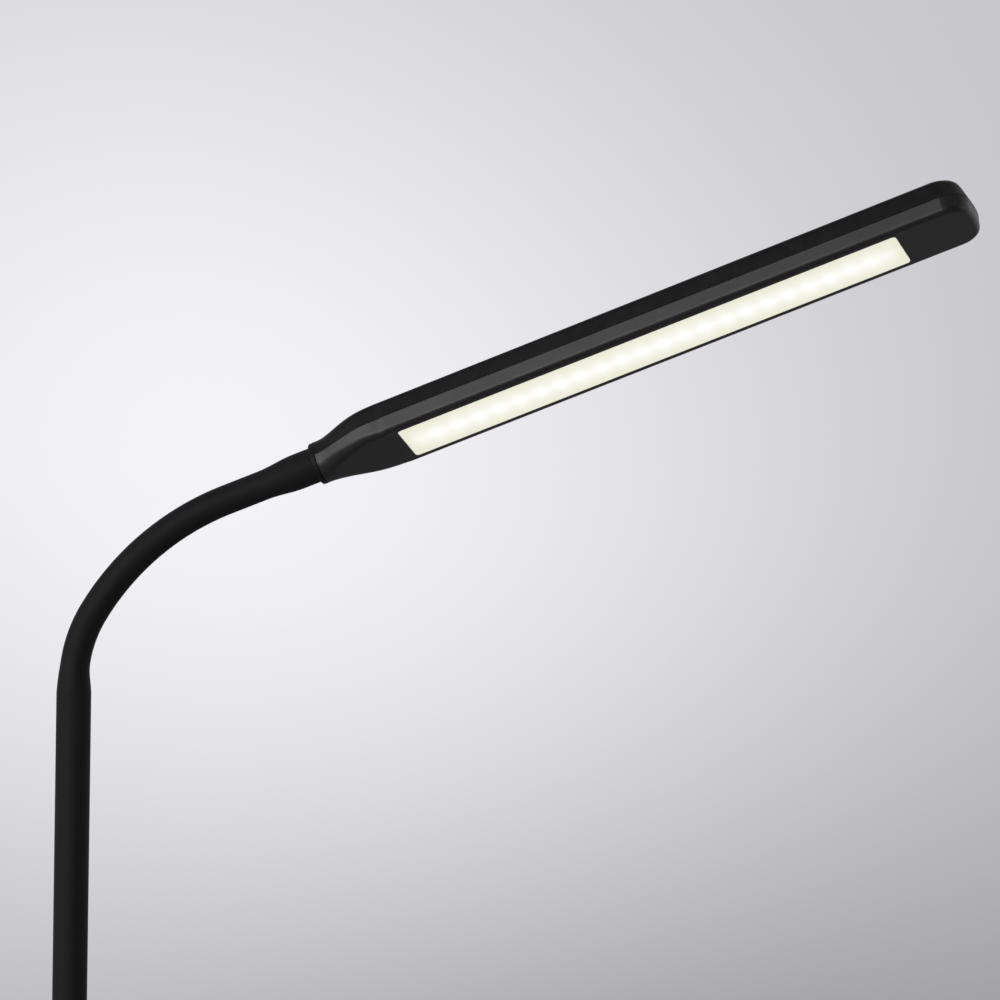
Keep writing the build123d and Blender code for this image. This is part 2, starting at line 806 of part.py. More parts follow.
def top_outline(half_width, height, corner):
    """Half section of the top shell: upright sides and rounded corners."""
    with BuildSketch() as outline:
        with BuildLine():
            flat = half_width - corner
            Line((-half_width, 0), (half_width, 0))
            Line((half_width, 0), (half_width, height - corner))
            CenterArc((flat, height - corner), corner, 0, 90)
            Line((flat, height), (-flat, height))
            CenterArc((-flat, height - corner), corner, 90, 90)
            Line((-half_width, height - corner), (-half_width, 0))
        make_face()
    return outline.sketch


def bottom_outline(half_width, depth, corner):
    """Half section of the lower shell: sides drawn in by the draft, and rounded corners."""
    draft = radians(side_draft)
    side = (depth - corner + corner * sin(draft)) / cos(draft)
    flat = half_width - side * sin(draft) - corner * cos(draft)
    foot_x, foot_y = half_width - side * sin(draft), -side * cos(draft)
    with BuildSketch() as outline:
        with BuildLine():
            Line((-half_width, 0), (half_width, 0))
            Line((half_width, 0), (foot_x, foot_y))
            CenterArc((flat, corner - depth), corner, -side_draft, side_draft - 90)
            Line((flat, -depth), (-flat, -depth))
            CenterArc((-flat, corner - depth), corner, -90, side_draft - 90)
            Line((-foot_x, foot_y), (-half_width, 0))
        make_face()
    return outline.sketch


def top_body(inset):
    """Solid of the head above the seam, drawn in by inset on every side."""
    half_width = head_half_width - inset
    rise = (head_top_tip - head_top) / (head_length - flare_end)
    roof = head_top - inset - rise * flare_end
    front = head_length + head_top_tip
    leaning = head_up * cos(radians(tip_slope)) - head_along * sin(radians(tip_slope))
    bow_centre = head_origin + head_along * (head_length - inset - tip_bow / cos(radians(tip_slope)))
    with BuildPart() as body:
        with BuildSketch(head_profile):
            with BuildLine():
                Polyline((0, 0), (front, 0), (front, roof + rise * front), (0, roof), close=True)
            make_face()
        extrude(amount=half_width, both=True)
        with BuildSketch(Plane(origin=bow_centre, x_dir=head_side, z_dir=leaning)):
            Circle(tip_bow)
            with Locations((0, head_length)):
                Rectangle(2 * tip_bow, 2 * head_length)
        extrude(amount=tip_bow, both=True, mode=Mode.INTERSECT)
        tip_edges = body.edges().filter_by(Axis(head_origin, leaning)).sort_by(head_axis)[-2:]
        fillet(tip_edges, tip_round - inset)
        roof_face = body.faces().sort_by(Axis(head_origin, head_up))[-1]
        fillet(roof_face.outer_wire().edges(), edge_round - inset)
        with BuildSketch(head_section(flare_end)):
            Rectangle(4 * head_half_width, 4 * head_half_width)
        extrude(amount=-2 * flare_end, mode=Mode.SUBTRACT)
    with BuildPart() as shoulder:
        for shares in flare_shares:
            x, (width, top, corner, _, _) = flare_station(shares)
            with BuildSketch(head_section(x)):
                add(top_outline(width - inset, top - inset, corner - inset))
        loft()
    return body.part.fuse(shoulder.part, tol=weld)


def bottom_body(inset):
    """Solid of the head below the seam, drawn in by inset on every side."""
    with BuildPart() as body:
        with BuildSketch(head_level(0)):
            add(plan_outline(inset))
        extrude(amount=inset - head_depth, taper=side_draft)
        floor = body.faces().sort_by(Axis(head_origin, head_up))[0]
        fillet(floor.outer_wire().edges(), under_round - inset)
        with BuildSketch(head_section(flare_end)):
            Rectangle(4 * head_half_width, 4 * head_half_width)
        extrude(amount=-2 * flare_end, mode=Mode.SUBTRACT)
    with BuildPart() as shoulder:
        for shares in flare_shares:
            x, (width, _, _, depth, corner) = flare_station(shares)
            with BuildSketch(head_section(x)):
                add(bottom_outline(width - inset, depth - inset, corner - inset))
        loft()
    return body.part.fuse(shoulder.part, tol=weld)


floor_top = shell_wall - head_depth
flange_top = floor_top + flange_thickness
board_seat = run_gap / 2
lens_middle = lens_start + lens_length / 2
led_board_top = board_seat + led_board_thickness
spreader_top = led_board_top + spreader_thickness
led_pitch = lens_length / led_count
screw_every = led_count // led_screw_count
led_screw_places = [
    (lens_start + led_pitch * (screw_every * i + screw_every // 2), 0) for i in range(led_screw_count)
]

with BuildPart() as upper_shell:
    add(top_body(0))
    add(top_body(shell_wall), mode=Mode.SUBTRACT)
    with BuildSketch(head_section(0)):
        Circle(ring_radius)
    extrude(amount=ring_length)
    fillet(upper_shell.edges().filter_by(GeomType.CIRCLE).sort_by(head_axis)[0], ring_edge)
    with BuildSketch(head_section(ring_recess)):
        Circle(hub_flange_radius)
    extrude(amount=hub_flange_end - ring_recess)
    with BuildSketch(head_section(ring_recess)):
        Circle(hub_radius)
    extrude(amount=hub_end - ring_recess)
    with BuildSketch(head_section(0)):
        Circle(cuff_radius + run_gap)
    extrude(amount=ring_recess, mode=Mode.SUBTRACT)
    with BuildSketch(head_section(0)):
        Circle(spindle_radius + spindle_gap)
    extrude(amount=hub_end, mode=Mode.SUBTRACT)
    with BuildSketch(head_level(spreader_top)):
        with Locations(*led_screw_places):
            Circle(led_screw_radius + boss_wall)
    extrude(amount=head_top - shell_wall / 2 - spreader_top)
    with BuildSketch(head_level(spreader_top)):
        with Locations(*led_screw_places):
            Circle(led_screw_radius)
    extrude(amount=3.0, mode=Mode.SUBTRACT)
save(upper_shell, "upper_shell")

with BuildPart() as seam_cut:
    with BuildSketch(head_level(0)):
        with Locations((head_length / 2, 0)):
            Rectangle(2 * head_length, 4 * head_half_width)
    extrude(amount=-seam_groove)
    add(bottom_body(seam_groove), mode=Mode.SUBTRACT)

with BuildPart() as lower_shell:
    add(bottom_body(0))
    add(bottom_body(shell_wall), mode=Mode.SUBTRACT)
    with BuildSketch(head_section(0)):
        Rectangle(4 * ring_radius, 4 * ring_radius)
    extrude(amount=ring_length + ring_groove, mode=Mode.SUBTRACT)
    add(seam_cut.part, mode=Mode.SUBTRACT)
    with BuildSketch(head_level(-head_depth - 1.0)):
        with Locations((lens_middle, 0)):
            RectangleRounded(lens_length + 2 * lens_gap, lens_width + 2 * lens_gap, lens_corner + lens_gap)
    extrude(amount=shell_wall + 2.0, mode=Mode.SUBTRACT)
save(lower_shell, "lower_shell")

with BuildPart() as diffuser:
    with BuildSketch(head_level(-head_depth)):
        with Locations((lens_middle, 0)):
            RectangleRounded(lens_length, lens_width, lens_corner)
    extrude(amount=shell_wall)
    with BuildSketch(head_level(floor_top)):
        with Locations((lens_middle, 0)):
            RectangleRounded(lens_length + 2 * lens_flange, lens_width + 2 * lens_flange, lens_corner)
    extrude(amount=flange_thickness)
save(diffuser, "diffuser")

with BuildPart() as reflector:
    with BuildSketch(head_level(flange_top)):
        with Locations((lens_middle, 0)):
            RectangleRounded(lens_length + 2 * tray_wall, lens_width + 2 * tray_wall, lens_corner)
    extrude(amount=board_seat - flange_top)
    with BuildSketch(head_level(flange_top)):
        with Locations((lens_middle, 0)):
            RectangleRounded(lens_length, lens_width, lens_corner)
    extrude(amount=board_seat - flange_top - 0.8, taper=50, mode=Mode.SUBTRACT)
    with BuildSketch(head_level(board_seat)):
        with Locations((lens_middle, 0)):
            Rectangle(lens_length - 4.0, led_board_width - 4.0)
    extrude(amount=-2.0, mode=Mode.SUBTRACT)
save(reflector, "reflector")

with BuildPart() as led_board:
    with BuildSketch(head_level(board_seat)):
        with Locations((lens_middle, 0)):
            Rectangle(lens_length + 4.0, led_board_width)
        with Locations(*led_screw_places):
            Circle(led_screw_radius + close_gap, mode=Mode.SUBTRACT)
    extrude(amount=led_board_thickness)
save(led_board, "led_board")

with BuildPart() as leds:
    with BuildSketch(head_level(board_seat)):
        for i in range(led_count):
            with Locations((lens_start + led_pitch * (i + 0.5), 0)):
                Rectangle(led_length, led_width)
    extrude(amount=-led_height)
save(leds, "leds")

with BuildPart() as heat_spreader:
    with BuildSketch(head_level(led_board_top)):
        with Locations((lens_middle, 0)):
            Rectangle(lens_length, spreader_width)
        with Locations(*led_screw_places):
            Circle(led_screw_radius + close_gap, mode=Mode.SUBTRACT)
    extrude(amount=spreader_thickness)
save(heat_spreader, "heat_spreader")

with BuildPart() as led_screws:
    with BuildSketch(head_level(board_seat)):
        with Locations(*led_screw_places):
            Circle(led_screw_head)
    extrude(amount=-led_screw_head_height)
    with BuildSketch(head_level(board_seat)):
        with Locations(*led_screw_places):
            Circle(led_screw_radius)
    extrude(amount=spreader_top - board_seat + 2.5)
save(led_screws, "led_screws")

with BuildPart() as swivel_washer:
    with BuildSketch(head_section(hub_end)):
        Circle(washer_radius)
        Circle(spindle_radius + run_gap, mode=Mode.SUBTRACT)
    extrude(amount=washer_thickness)
save(swivel_washer, "swivel_washer")

with BuildPart() as lead_head:
    with BuildSketch(head_section(spindle_reach + run_gap)):
        Circle(lead_radius)
    extrude(amount=lens_start - 2.0 - run_gap / 2 - spindle_reach - run_gap)
save(lead_head, "lead_head")
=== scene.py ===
# Gooseneck desk lamp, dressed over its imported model
from math import cos, pi, radians, sin

import bpy
from mathutils import Matrix, Vector


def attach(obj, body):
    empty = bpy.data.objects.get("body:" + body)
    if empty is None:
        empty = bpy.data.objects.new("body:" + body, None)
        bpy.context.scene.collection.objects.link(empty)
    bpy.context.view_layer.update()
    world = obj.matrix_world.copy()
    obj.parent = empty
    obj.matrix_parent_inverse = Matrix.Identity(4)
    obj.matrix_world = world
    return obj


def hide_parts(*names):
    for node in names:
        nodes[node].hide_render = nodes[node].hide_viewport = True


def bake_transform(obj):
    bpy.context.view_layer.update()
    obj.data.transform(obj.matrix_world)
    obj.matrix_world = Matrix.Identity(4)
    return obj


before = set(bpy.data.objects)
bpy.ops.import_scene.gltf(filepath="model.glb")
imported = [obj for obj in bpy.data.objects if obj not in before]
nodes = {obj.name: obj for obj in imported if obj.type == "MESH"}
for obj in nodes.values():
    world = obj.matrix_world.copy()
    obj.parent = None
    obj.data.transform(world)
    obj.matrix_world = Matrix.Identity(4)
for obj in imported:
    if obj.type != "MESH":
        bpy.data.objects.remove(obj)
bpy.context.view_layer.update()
print("model loaded:", len(nodes), "nodes")

mm = 0.001


# node helpers
def newGroup(name, inputs, outputs):
    group = bpy.data.node_groups.new(name, "ShaderNodeTree")
    for label, kind, value in inputs:
        socket = group.interface.new_socket(label, in_out="INPUT", socket_type=kind)
        if value is not None:
            socket.default_value = value
    for label, kind in outputs:
        group.interface.new_socket(label, in_out="OUTPUT", socket_type=kind)
    start = group.nodes.new("NodeGroupInput")
    end = group.nodes.new("NodeGroupOutput")
    return group, start, end


def addNode(tree, kind, **settings):
    node = tree.nodes.new(kind)
    for key, value in settings.items():
        setattr(node, key, value)
    return node


def feed(tree, socket, value):
    # a number or a color is set on the socket, an output is linked to it
    if isinstance(value, (int, float)):
        socket.default_value = value
    elif isinstance(value, tuple):
        socket.default_value = (*value, 1.0)
    else:
        tree.links.new(value, socket)


def addMath(tree, operation, a, b=None, c=None, clamp=False):
    node = addNode(tree, "ShaderNodeMath", operation=operation, use_clamp=clamp)
    for slot, value in enumerate((a, b, c)):
        if value is not None:
            feed(tree, node.inputs[slot], value)
    return node.outputs[0]


def addDot(tree, vector, axis):
    node = addNode(tree, "ShaderNodeVectorMath", operation="DOT_PRODUCT")
    tree.links.new(vector, node.inputs[0])
    node.inputs[1].default_value = axis
    return node.outputs["Value"]


def addRamp(tree, source, fromLow, fromHigh, toLow=0.0, toHigh=1.0):
    node = addNode(tree, "ShaderNodeMapRange", clamp=True)
    tree.links.new(source, node.inputs["Value"])
    for label, value in (("From Min", fromLow), ("From Max", fromHigh),
                         ("To Min", toLow), ("To Max", toHigh)):
        feed(tree, node.inputs[label], value)
    return node.outputs["Result"]


def addNoise(tree, point, scale, detail=2.0, roughness=0.5):
    node = addNode(tree, "ShaderNodeTexNoise", noise_dimensions="3D")
    tree.links.new(point, node.inputs["Vector"])
    feed(tree, node.inputs["Scale"], scale)
    node.inputs["Detail"].default_value = detail
    node.inputs["Roughness"].default_value = roughness
    return node.outputs["Fac"]


def mixColor(tree, factor, first, second):
    node = addNode(tree, "ShaderNodeMix", data_type="RGBA", blend_type="MIX")
    for label, value in (("Factor", factor), ("A", first), ("B", second)):
        feed(tree, [s for s in node.inputs if s.name == label and s.enabled][0], value)
    return [s for s in node.outputs if s.enabled][0]


def objectPoint(tree):
    return addNode(tree, "ShaderNodeTexCoord").outputs["Object"]


# effects that several materials share
grainLook = {
    "pebbleDetail": 2.5, "pebbleRoughness": 0.55,
    "waveDetail": 4.0, "waveRoughness": 0.6,
    "waveHeight": 0.35,  # of the pebble's height
    "waveFrom": 0.32, "waveTo": 0.68,
    "pebbleShare": 0.3, "waveShare": 0.7,  # of the roughness
}


def makeFineGrain():
    # skin of moulded plastic or rubber: a fine pebble over slow waves
    group, start, end = newGroup(
        "fineGrain",
        [("Vector", "NodeSocketVector", None),
         ("Grain Size", "NodeSocketFloat", 1500.0),
         ("Wave Size", "NodeSocketFloat", 40.0),
         ("Roughness Low", "NodeSocketFloat", 0.4),
         ("Roughness High", "NodeSocketFloat", 0.6)],
        [("Height", "NodeSocketFloat"),
         ("Roughness", "NodeSocketFloat"),
         ("Shade", "NodeSocketFloat")])
    point = start.outputs["Vector"]
    pebble = addNoise(group, point, start.outputs["Grain Size"],
                      grainLook["pebbleDetail"], grainLook["pebbleRoughness"])
    wave = addNoise(group, point, start.outputs["Wave Size"],
                    grainLook["waveDetail"], grainLook["waveRoughness"])
    height = addMath(group, "MULTIPLY_ADD", wave, grainLook["waveHeight"], pebble)
    slow = addRamp(group, wave, grainLook["waveFrom"], grainLook["waveTo"])
    both = addMath(group, "MULTIPLY_ADD", pebble, grainLook["pebbleShare"],
                   addMath(group, "MULTIPLY", slow, grainLook["waveShare"]))
    roughness = addRamp(group, both, 0.0, 1.0,
                        start.outputs["Roughness Low"], start.outputs["Roughness High"])
    group.links.new(height, end.inputs["Height"])
    group.links.new(roughness, end.inputs["Roughness"])
    group.links.new(slow, end.inputs["Shade"])
    return group


dustLook = {
    "speckFrom": 0.04, "speckTo": 0.16,
    "chanceFrom": 0.86, "chanceTo": 0.92,  # only these few cells hold a speck
    "upFrom": -0.2, "upTo": 0.9, "leastSettled": 0.25,
    "filmScale": 90.0, "filmDetail": 5.0,
    "filmFrom": 0.45, "filmTo": 0.8, "filmMost": 0.25,
}


def makeDust():
    # sparse pale specks and a thin film that gathers on faces that look up
    group, start, end = newGroup(
        "settledDust",
        [("Vector", "NodeSocketVector", None),
         ("Amount", "NodeSocketFloat", 0.5),
         ("Speck Size", "NodeSocketFloat", 700.0)],
        [("Mask", "NodeSocketFloat")])
    point = start.outputs["Vector"]
    cells = addNode(group, "ShaderNodeTexVoronoi", feature="F1")
    group.links.new(point, cells.inputs["Vector"])
    group.links.new(start.outputs["Speck Size"], cells.inputs["Scale"])
    specks = addRamp(group, cells.outputs["Distance"],
                     dustLook["speckFrom"], dustLook["speckTo"], 1.0, 0.0)
    chance = addNode(group, "ShaderNodeSeparateColor")
    group.links.new(cells.outputs["Color"], chance.inputs["Color"])
    chosen = addRamp(group, chance.outputs["Red"], dustLook["chanceFrom"], dustLook["chanceTo"])
    geometry = addNode(group, "ShaderNodeNewGeometry")
    facing = addNode(group, "ShaderNodeSeparateXYZ")
    group.links.new(geometry.outputs["Normal"], facing.inputs["Vector"])
    lookingUp = addRamp(group, facing.outputs["Z"], dustLook["upFrom"], dustLook["upTo"],
                        dustLook["leastSettled"], 1.0)
    film = addRamp(group, addNoise(group, point, dustLook["filmScale"], dustLook["filmDetail"]),
                   dustLook["filmFrom"], dustLook["filmTo"], 0.0, dustLook["filmMost"])
    spotted = addMath(group, "MULTIPLY", specks, chosen)
    total = addMath(group, "MULTIPLY", addMath(group, "MAXIMUM", spotted, film), lookingUp)
    mask = addMath(group, "MULTIPLY", total, start.outputs["Amount"], clamp=True)
    group.links.new(mask, end.inputs["Mask"])
    return group


wearLook = {
    "edgeFrom": 0.52, "edgeTo": 0.62,
    "breakScale": 260.0, "breakDetail": 6.0,
    "breakFrom": 0.45, "breakTo": 0.62,
}


def makeEdgeWear():
    # rubbed outer edges, broken up by a noise
    group, start, end = newGroup(
        "edgeWear",
        [("Vector", "NodeSocketVector", None), ("Amount", "NodeSocketFloat", 0.5)],
        [("Mask", "NodeSocketFloat")])
    geometry = addNode(group, "ShaderNodeNewGeometry")
    edge = addRamp(group, geometry.outputs["Pointiness"],
                   wearLook["edgeFrom"], wearLook["edgeTo"])
    breakUp = addNoise(group, start.outputs["Vector"],
                       wearLook["breakScale"], wearLook["breakDetail"])
    rubbed = addRamp(group, breakUp, wearLook["breakFrom"], wearLook["breakTo"])
    worn = addMath(group, "MULTIPLY", edge, rubbed)
    mask = addMath(group, "MULTIPLY", worn, start.outputs["Amount"], clamp=True)
    group.links.new(mask, end.inputs["Mask"])
    return group


fineGrain = makeFineGrain()
settledDust = makeDust()
edgeWear = makeEdgeWear()


# material helpers
def newMaterial(name):
    material = bpy.data.materials.new(name)
    material.use_nodes = True
    tree = material.node_tree
    return material, tree, tree.nodes["Principled BSDF"]


def useGroup(tree, group, point, **values):
    # Grain_Size=2 sets the group's input Grain Size
    node = addNode(tree, "ShaderNodeGroup", node_tree=group)
    tree.links.new(point, node.inputs["Vector"])
    for label, value in values.items():
        node.inputs[label.replace("_", " ")].default_value = value
    return node


def bumpFrom(tree, shader, height, strength, distance):
    bump = addNode(tree, "ShaderNodeBump")
    bump.inputs["Strength"].default_value = strength
    bump.inputs["Distance"].default_value = distance
    tree.links.new(height, bump.inputs["Height"])
    tree.links.new(bump.outputs["Normal"], shader.inputs["Normal"])


mouldedLook = {
    "dustColor": (0.32, 0.31, 0.30),
    "dustRoughness": 0.3,  # added where the dust lies
    "wornTimes": 3, "wornPlus": 0.02,  # a worn edge against the lighter shade
}


def moulded(name, dark, light, rough, grainSize, bump, dust=0.25, wear=0.0, specular=0.5):
    # plastic, rubber, lacquer or raw iron: two close shades, grain, dust and a little wear
    material, tree, shader = newMaterial(name)
    point = objectPoint(tree)
    grain = useGroup(tree, fineGrain, point, Grain_Size=grainSize,
                     Roughness_Low=rough[0], Roughness_High=rough[1])
    color = mixColor(tree, grain.outputs["Shade"], dark, light)
    if wear:
        worn = useGroup(tree, edgeWear, point, Amount=wear)
        wornColor = tuple(min(1.0, c * mouldedLook["wornTimes"] + mouldedLook["wornPlus"])
                          for c in light)
        color = mixColor(tree, worn.outputs["Mask"], color, wornColor)
    film = useGroup(tree, settledDust, point, Amount=dust)
    color = mixColor(tree, film.outputs["Mask"], color, mouldedLook["dustColor"])
    roughness = addMath(tree, "MULTIPLY_ADD", film.outputs["Mask"],
                        mouldedLook["dustRoughness"], grain.outputs["Roughness"], clamp=True)
    tree.links.new(color, shader.inputs["Base Color"])
    tree.links.new(roughness, shader.inputs["Roughness"])
    shader.inputs["Specular IOR Level"].default_value = specular
    bumpFrom(tree, shader, grain.outputs["Height"], *bump)
    return material


metalLook = {
    "stretch": 0.04,  # along the brushing
    "brushScale": 900.0, "brushDetail": 3.0, "brushShare": 0.6,
    "stainScale": 60.0, "stainDetail": 5.0, "stainShare": 0.4,
    "shadeFrom": 0.35, "shadeTo": 0.65,
    "roughFrom": 0.3, "roughTo": 0.7,
    "bumpStrength": 0.08, "bumpDistance": 0.0002,
}


def metal(name, dark, light, rough, brushAxis=2):
    # drawn or brushed metal with streaks along one axis
    material, tree, shader = newMaterial(name)
    stretch = addNode(tree, "ShaderNodeMapping")
    stretch.inputs["Scale"].default_value = [
        metalLook["stretch"] if axis == brushAxis else 1.0 for axis in range(3)]
    point = objectPoint(tree)
    tree.links.new(point, stretch.inputs["Vector"])
    streaks = addNoise(tree, stretch.outputs["Vector"],
                       metalLook["brushScale"], metalLook["brushDetail"])
    stain = addNoise(tree, point, metalLook["stainScale"], metalLook["stainDetail"])
    shade = addMath(tree, "MULTIPLY_ADD", streaks, metalLook["brushShare"],
                    addMath(tree, "MULTIPLY", stain, metalLook["stainShare"]))
    tone = addRamp(tree, shade, metalLook["shadeFrom"], metalLook["shadeTo"])
    roughness = addRamp(tree, shade, metalLook["roughFrom"], metalLook["roughTo"], *rough)
    tree.links.new(mixColor(tree, tone, dark, light), shader.inputs["Base Color"])
    tree.links.new(roughness, shader.inputs["Roughness"])
    shader.inputs["Metallic"].default_value = 1.0
    bumpFrom(tree, shader, streaks, metalLook["bumpStrength"], metalLook["bumpDistance"])
    return material


# materials: rough is lowest and highest, bump is strength and distance
sleeveRubber = moulded(
    "sleeveRubber", dark=(0.0074, 0.0073, 0.0083), light=(0.0098, 0.0097, 0.0109),
    rough=(0.56, 0.70), grainSize=2400.0, bump=(0.25, 0.0002), dust=0.06, specular=0.15)
padRubber = moulded(
    "padRubber", dark=(0.012, 0.012, 0.012), light=(0.02, 0.02, 0.021),
    rough=(0.7, 0.85), grainSize=900.0, bump=(0.4, 0.0004), dust=0.3)
coverPlastic = moulded(
    "coverPlastic", dark=(0.0085, 0.0085, 0.009), light=(0.013, 0.013, 0.0135),
    rough=(0.42, 0.52), grainSize=1500.0, bump=(0.3, 0.0003), dust=0.16, wear=0.25)
buttonPlastic = moulded(
    "buttonPlastic", dark=(0.012, 0.012, 0.0125), light=(0.018, 0.018, 0.019),
    rough=(0.3, 0.4), grainSize=2200.0, bump=(0.12, 0.0002), dust=0.08, wear=0.3)
upperPlastic = moulded(
    "upperPlastic", dark=(0.0072, 0.0072, 0.0076), light=(0.0095, 0.0095, 0.0099),
    rough=(0.46, 0.56), grainSize=2000.0, bump=(0.12, 0.00015), dust=0.08, wear=0.15,
    specular=0.15)
lowerPlastic = moulded(
    "lowerPlastic", dark=(0.0074, 0.0074, 0.0078), light=(0.0098, 0.0098, 0.0103),
    rough=(0.32, 0.42), grainSize=2600.0, bump=(0.06, 0.0001), dust=0.05, wear=0.1)
whitePlastic = moulded(
    "whitePlastic", dark=(0.78, 0.78, 0.77), light=(0.85, 0.85, 0.84),
    rough=(0.35, 0.5), grainSize=1800.0, bump=(0.1, 0.0002), dust=0.0)
partPlastic = moulded(
    "partPlastic", dark=(0.02, 0.02, 0.022), light=(0.035, 0.035, 0.037),
    rough=(0.4, 0.6), grainSize=2500.0, bump=(0.2, 0.0002))
leadPlastic = moulded(
    "leadPlastic", dark=(0.09, 0.09, 0.10), light=(0.13, 0.13, 0.14),
    rough=(0.35, 0.5), grainSize=1800.0, bump=(0.1, 0.0002), dust=0.1)
boardGreen = moulded(
    "boardGreen", dark=(0.012, 0.09, 0.03), light=(0.018, 0.13, 0.045),
    rough=(0.25, 0.4), grainSize=1200.0, bump=(0.15, 0.0002), dust=0.1)
ledGel = moulded(
    "ledGel", dark=(0.75, 0.55, 0.10), light=(0.85, 0.68, 0.2),
    rough=(0.2, 0.3), grainSize=3000.0, bump=(0.05, 0.0001), dust=0.0)
zincSteel = metal(
    "zincSteel", dark=(0.42, 0.43, 0.45), light=(0.58, 0.59, 0.60), rough=(0.28, 0.42))
springSteel = metal(
    "springSteel", dark=(0.25, 0.26, 0.28), light=(0.40, 0.41, 0.43), rough=(0.22, 0.36))
milledAluminium = metal(
    "milledAluminium", dark=(0.62, 0.63, 0.64), light=(0.76, 0.77, 0.78), rough=(0.3, 0.45),
    brushAxis=0)
blackSteel = moulded(
    "blackSteel", dark=(0.012, 0.012, 0.012), light=(0.02, 0.02, 0.02),
    rough=(0.3, 0.45), grainSize=1400.0, bump=(0.2, 0.0003), wear=0.4)
castIron = moulded(
    "castIron", dark=(0.05, 0.05, 0.052), light=(0.1, 0.1, 0.1),
    rough=(0.6, 0.8), grainSize=500.0, bump=(0.6, 0.001), dust=0.2, wear=0.4)

nodeFinish = {
    "antislip_pad": padRubber,
    "base_plate": blackSteel,
    "base_screws": zincSteel,
    "base_weight": castIron,
    "base_cover": coverPlastic,
    "post_trim": coverPlastic,
    "post_tube": blackSteel,
    "post_screws": zincSteel,
    "control_board": boardGreen,
    "board_parts": partPlastic,
    "board_screws": zincSteel,
    "tact_switch": partPlastic,
    "dc_jack": partPlastic,
    "jack_lead": leadPlastic,
    "lower_ferrule": zincSteel,
    "power_button": buttonPlastic,
    "switch_plunger": partPlastic,
    "head_ferrule": zincSteel,
    "retaining_clip": springSteel,
    "upper_shell": upperPlastic,
    "lower_shell": lowerPlastic,
    "diffuser": whitePlastic,
    "reflector": whitePlastic,
    "led_board": whitePlastic,
    "leds": ledGel,
    "heat_spreader": milledAluminium,
    "led_screws": zincSteel,
    "swivel_washer": whitePlastic,
}
# nodes that repeat along the neck, by the first word of their names
rowFinish = {"sleeve": sleeveRubber, "coil": springSteel, "lead": leadPlastic}
for name, node in nodes.items():
    finish = nodeFinish.get(name) or rowFinish[name.split("_")[0]]
    for slot in node.material_slots:
        slot.material = finish
print("materials made:", len(bpy.data.materials))

# neck's centreline and its sleeve's radii, measured along from the first hinge
neck = {
    "postX": -50.0 * mm,
    "bendStart": 310.4 * mm,
    "pitch": 15.0 * mm,
    "stretches": 8,
    "tightTurn": 31.0,
    "wideTurn": 37.2,
    "tightLength": 30.0 * mm,
    "wideLength": 75.0 * mm,
    "postRadius": 7.3 * mm,
    "neckRadius": 6.2 * mm,
    "cuffRadius": 7.45 * mm,
    "taperFrom": -6.4 * mm,
    "taperTo": 8.0 * mm,
    "cuffFrom": 122.0 * mm,
    "cuffTo": 138.0 * mm,
    "headStart": 146.0 * mm,
}


def neckHeading(s):
    if s <= 0:
        return 90.0
    if s <= neck["tightLength"]:
        return 90.0 - neck["tightTurn"] * s / neck["tightLength"]
    bent = min(s - neck["tightLength"], neck["wideLength"])
    return 90.0 - neck["tightTurn"] - neck["wideTurn"] * bent / neck["wideLength"]


def neckPoint(s):
    # up the post, round the tight bend, round the wide bend, then straight on
    x, z, heading = neck["postX"], neck["bendStart"], 90.0
    if s <= 0:
        return Vector((x, 0, z + s))
    bends = ((neck["tightLength"], neck["tightTurn"]), (neck["wideLength"], neck["wideTurn"]))
    for length, turn in bends:
        share = min(s, length)
        last = heading - turn * share / length
        bendRadius = length / radians(turn)
        x += bendRadius * (sin(radians(heading)) - sin(radians(last)))
        z += bendRadius * (cos(radians(last)) - cos(radians(heading)))
        heading, s = last, s - share
        if s <= 0:
            return Vector((x, 0, z))
    return Vector((x + s * cos(radians(heading)), 0, z + s * sin(radians(heading))))


def neckAlong(s):
    return Vector((cos(radians(neckHeading(s))), 0, sin(radians(neckHeading(s)))))


def ease(t):
    t = max(0.0, min(1.0, t))
    return t * t * (3 - 2 * t)


def sleeveRadius(s):
    slim = ease((s - neck["taperFrom"]) / (neck["taperTo"] - neck["taperFrom"]))
    wide = ease((s - neck["cuffFrom"]) / (neck["cuffTo"] - neck["cuffFrom"]))
    return (neck["postRadius"] + (neck["neckRadius"] - neck["postRadius"]) * slim
            + (neck["cuffRadius"] - neck["neckRadius"]) * wide)


# mesh helpers
def meshFrom(name, points, faces, finish):
    mesh = bpy.data.meshes.new(name)
    mesh.from_pydata([tuple(p) for p in points], [], faces)
    mesh.validate()
    mesh.update()
    made = bpy.data.objects.new(name, mesh)
    bpy.context.scene.collection.objects.link(made)
    mesh.materials.append(finish)
    for polygon in mesh.polygons:
        polygon.use_smooth = True
    return made


def loftRings(name, rings, finish, closeStart=False, closeEnd=False):
    count = len(rings[0])
    points = [p for ring in rings for p in ring]
    faces = []
    for row in range(len(rings) - 1):
        low, high = row * count, (row + 1) * count
        for i in range(count):
            j = (i + 1) % count
            faces.append((low + i, low + j, high + j, high + i))
    if closeStart:
        faces.append(tuple(reversed(range(count))))
    if closeEnd:
        faces.append(tuple(range((len(rings) - 1) * count, len(rings) * count)))
    return meshFrom(name, points, faces, finish)


# sleeve: one skin from the base to the head, divided half way between the hinges
sleeve = {
    "sides": 72,
    "step": 1.0 * mm,  # between rings on the neck
    "postStep": 4.0 * mm,
    "foot": 23.0 * mm,
    "inset": 1.2 * mm,  # the bend starts this far inside each stretch
    "lipRound": 0.7 * mm,
    "lipSteps": 6,
    "cuffRings": 20,
    "cuffEnd": 147.1 * mm,
    "cuffMouth": 6.2 * mm,
}


